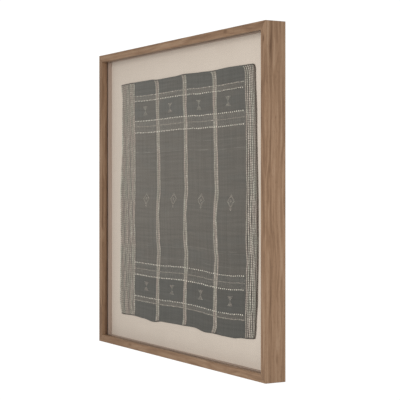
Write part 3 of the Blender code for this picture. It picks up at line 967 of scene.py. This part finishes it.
# Yarns of each stripe: place from the stripe's middle, width, tone and how clearly its floats show
stripeYarns = {
    "place": (-7.3, -4.5, -1.6, 1.2, 4.4, 7.2),
    "width": (3.0, 3.1, 2.9, 2.8, 3.2, 3.0),
    "tone": (0.52, 0.60, 0.42, 0.38, 0.62, 0.56),
    "ladder": (0.12, 0.10, 0.12, 0.12, 0.10, 0.12),
}
# Strands of the borders: two yarns side by side, with a gap before the next, where the ground is darkened as
# painted shade
leftStrands = {
    "place": (-333.4, -327.6, -321.0, -314.0, -306.8, -299.6, -292.4, -284.6, -276.4, -268.8, -261.4, -254.2),
    "width": (3.6, 3.0, 3.2, 3.2, 3.1, 3.1, 2.9, 3.0, 2.9, 3.2, 3.2, 2.9),
    "tone": (0.76, 0.52, 0.42, 0.42, 0.46, 0.55, 0.60, 0.52, 0.56, 0.60, 0.54, 0.62),
    "ladder": (0.22, 0.26, 0.30, 0.28, 0.24, 0.14, 0.10, 0.10, 0.10, 0.10, 0.10, 0.10),
}
rightStrands = {
    "place": (294.2, 302.4, 311.4, 319.6, 327.0, 333.0),
    "width": (2.5, 2.2, 2.7, 2.5, 2.5, 1.6),
    "tone": (0.58, 0.66, 0.68, 0.66, 0.58, 0.42),
    "ladder": (0.12, 0.22, 0.24, 0.24, 0.24, 0.20),
}
fans = {  # mm that the leftmost yarn of each piece bends sideways at the top and at the bottom
    "name": ("stripeYarns1", "stripeYarns2", "stripeYarns3", "leftBorderYarns", "rightBorderYarns"),
    "top": (-9.0, -8.0, -11.0, -3.0, -11.0),
    "bottom": (-2.0, -4.0, -8.0, 0.0, 0.0),
}


def doubled(strands):
    # each strand's two yarns, side by side
    place, width, tone, ladder = (np.array(column) for column in strands.values())
    side = np.array([-0.5, 0.5])
    places = (place[:, None] + side * width[:, None]).ravel()
    return {"place": places, "width": np.repeat(width, 2), "tone": np.repeat(tone, 2),
            "ladder": np.repeat(ladder, 2)}


def makeStrands(name, yarns, seed, material):
    # Each yarn is a low half tube. Along it the swell s = (1 + cos(2 pi v / pitch)) / 2 stands for its
    # floats; across it, at the angle t from 0 to pi, u = middle + w cos t / 2 and the lift is h sin t.
    rng = np.random.default_rng(seed)
    place, width, tone, ladder = (np.array(column, float)[:, None] for column in yarns.values())
    v = np.arange(cloth["bottom"] + 2.3, cloth["top"] - 2.0, warps["pitch"] / warps["steps"])[None, :]
    strand = np.arange(len(place))[:, None] // 2
    level = 1.1 * np.sin(v / 43.0 + 0.8 * strand) + 0.5 * np.sin(v / 17.0 + 2.1 * strand)
    swell = 0.5 + 0.5 * np.cos(2 * math.pi * (v + level) / warps["pitch"])

    turns = 1.9 * strand + 2.1
    roam = 0.6 * np.sin(v / 31.0 + turns) + 0.5 * np.sin(v / 13.0 + 2.3 * turns) + 0.25 * np.sin(v / 5.3 + turns)
    roam = roam * (1.0 + 0.7 * np.clip((60.0 - v) / 80.0, 0.0, 1.0))
    share = (place - place.min()) / np.ptp(place)
    fan = fans["name"].index(name)
    topBend, bottomBend = fans["top"][fan], fans["bottom"][fan]
    nearTop = np.clip((v - cloth["top"] + warps["topReach"]) / warps["topReach"], 0.0, 1.0)
    nearBottom = np.clip((cloth["bottom"] + warps["topReach"] - v) / warps["topReach"], 0.0, 1.0)
    middle = place + warps["roam"] * roam
    middle = middle + topBend * (1.0 - 0.75 * share) * nearTop ** 2.2 + bottomBend * nearBottom ** 2

    floats = np.broadcast_to((v - v.min()) // warps["pitch"], middle.shape).astype(int)
    knots = rng.normal(0.0, warps["mottle"], (len(place), floats.max() + 1))
    tones = tone + knots[np.arange(len(place))[:, None], floats] + ladder * (swell - 0.5)
    halfWidth = width / 2 * (1.0 - warps["pinch"] * (1.0 - swell))
    rise = warps["height"] * (1.0 - warps["dip"] * (1.0 - swell))
    turn = np.linspace(0.0, math.pi, 5)
    across = halfWidth[..., None] * np.cos(turn)
    u = np.clip(middle[..., None] + across, cloth["left"], cloth["right"])
    v = np.broadcast_to(v[..., None], u.shape)
    lift = clothLift(u, v) - warps["sink"] + rise[..., None] * np.sin(turn)

    count, rows, ring = u.shape
    here = np.arange(ring)
    there = np.roll(here, -1)
    first = (np.arange(count)[:, None] * rows + np.arange(rows - 1)).reshape(-1, 1) * ring
    sides = np.stack([first + here, first + ring + here, first + ring + there, first + there], axis=-1)
    starts = np.arange(count)[:, None] * rows * ring
    caps = [*(starts + here).tolist(), *(starts + (rows - 1) * ring + here[::-1]).tolist()]
    places = inTheWeave(u, v, lift)
    piece = addPiece(name, places, [*sides.reshape(-1, 4).tolist(), *caps], material)
    addThreads(piece, across, v)
    addAttribute(piece, "tone", np.repeat(tones.ravel(), ring))
    addAttribute(piece, "place", np.stack([u, v, np.zeros(u.shape)], axis=-1).reshape(-1, 3))
    return piece


def makeWarps(material):
    made = []
    for number, middle in enumerate(stripes["middle"]):
        yarns = dict(stripeYarns, place=[middle + place for place in stripeYarns["place"]])
        made.append(makeStrands("stripeYarns" + str(number + 1), yarns, 11 + number, material))
    made.append(makeStrands("leftBorderYarns", doubled(leftStrands), 21, material))
    made.append(makeStrands("rightBorderYarns", doubled(rightStrands), 31, material))
    return made


bandStitches = {
    "pitch": 8.8,  # mm
    "from": -248.0,
    "to": 286.0,
    "share": 0.56,  # of the pitch that a stitch covers
    "height": 0.85,
    "sink": 0.12,
    "overStripe": 0.45,  # mm higher where a band crosses a stripe
}


def makeBands(material):
    # rows of short floats along each band; the faint bands have them closer and flatter
    rng = np.random.default_rng(41)
    columns = {key: [] for key in ("u", "v", "width", "length", "height", "tone")}
    for middle, height, tone in zip(*bands.values()):
        faint = tone < 0.7
        pitch = bandStitches["pitch"] / (2.0 if faint else 1.0)
        u = np.arange(bandStitches["from"], bandStitches["to"], pitch)
        u = u + rng.uniform(-0.5, 0.5, len(u))
        columns["u"].append(u)
        columns["v"].append(middle + rng.uniform(-0.35, 0.35, len(u)))
        columns["width"].append(pitch * (0.9 if faint else bandStitches["share"]) * rng.uniform(0.85, 1.15, len(u)))
        columns["length"].append(height * rng.uniform(0.85, 1.1, len(u)))
        columns["height"].append(np.full(len(u), bandStitches["height"] * (0.5 if faint else 1.0)))
        columns["tone"].append(tone + rng.normal(0.0, 0.10, len(u)))
    beads = {key: np.concatenate(value) for key, value in columns.items()}
    away = np.min(np.abs(beads["u"][:, None] - np.array(stripes["middle"])), axis=1)
    beads["base"] = (bandStitches["overStripe"] * (away < 10.0))[:, None]
    beads["sink"] = bandStitches["sink"]
    return makeBeads("bandStitches", beads, material, 5, 4)


# Figures laid in by hand on the ground, charted on squared paper
figures = {
    "cell": (3.1, 2.9),  # mm across and up
    "stitch": (2.9, 2.2),
    "height": 0.45,
    "tone": 0.64,
}
diamondChart = (
    ".....#.....",
    "....###....",
    "...##.##...",
    "..##...##..",
    ".##..#..##.",
    "##..###..##",
    ".##..#..##.",
    "..##...##..",
    "...##.##...",
    "....###....",
    ".....#.....",
    "....###....",
    ".....#.....",
)
hourglassChart = (
    "#######",
    ".#####.",
    "..###..",
    "...#...",
    "...#...",
    "..###..",
    ".#####.",
    "#######",
)
figureRows = {
    "chart": (hourglassChart, diamondChart, hourglassChart),
    "height": (224.0, -2.0, -221.0),
    "across": ((-191, -58, 84, 218), (-189, -45, 91, 226), (-186, -50, 91, 225)),
}


def makeFigures(material):
    # one flat stitch for each mark of the chart
    rng = np.random.default_rng(51)
    cellU, cellV = figures["cell"]
    u, v = [], []
    for chart, middle, places in zip(*figureRows.values()):
        marks = np.array([[mark == "#" for mark in row] for row in chart])
        down, right = np.nonzero(marks)
        for place in places:
            u.append(place + (right - (marks.shape[1] - 1) / 2) * cellU)
            v.append(middle - (down - (marks.shape[0] - 1) / 2) * cellV)
    u, v = np.concatenate(u), np.concatenate(v)
    count = len(u)
    beads = {
        "u": u, "v": v,
        "width": np.full(count, figures["stitch"][0]) * rng.uniform(0.85, 1.1, count),
        "length": np.full(count, figures["stitch"][1]) * rng.uniform(0.85, 1.1, count),
        "height": np.full(count, figures["height"]),
        "tone": figures["tone"] + rng.normal(0.0, 0.07, count),
        "sink": 0.1,
    }
    return makeBeads("layInFigures", beads, material, 4, 4)


selvedge = {"pitch": 4.4, "length": 4.0, "width": 1.9, "height": 0.75}


def makeSelvedges(material):
    # the weft's turns stand as small loops along both woven edges
    rng = np.random.default_rng(61)
    v = np.arange(cloth["bottom"] + 6.0, cloth["top"] - 5.0, selvedge["pitch"])
    count = len(v)
    made = []
    for name, edge, tone in (("leftSelvedge", cloth["left"], 0.72), ("rightSelvedge", cloth["right"], 0.04)):
        beads = {
            "u": np.full(count, edge) + rng.uniform(-0.2, 0.2, count),
            "v": v + rng.uniform(-0.4, 0.4, count),
            "width": np.full(count, selvedge["width"]),
            "length": np.full(count, selvedge["length"]),
            "height": np.full(count, selvedge["height"]),
            "tone": tone + rng.normal(0.0, 0.10, count),
            "sink": 0.25,
        }
        made.append(makeBeads(name, beads, material))
    return made


paleYarn = yarnMaterial()
yarnPieces = makeWarps(paleYarn)
print("stripes and borders woven,", sum(len(piece.data.polygons) for piece in yarnPieces), "faces")
yarnPieces.append(makeBands(paleYarn))
yarnPieces.append(makeFigures(paleYarn))
yarnPieces += makeSelvedges(paleYarn)
print("bands, figures and selvedges laid in,", sum(len(piece.data.polygons) for piece in yarnPieces), "faces")
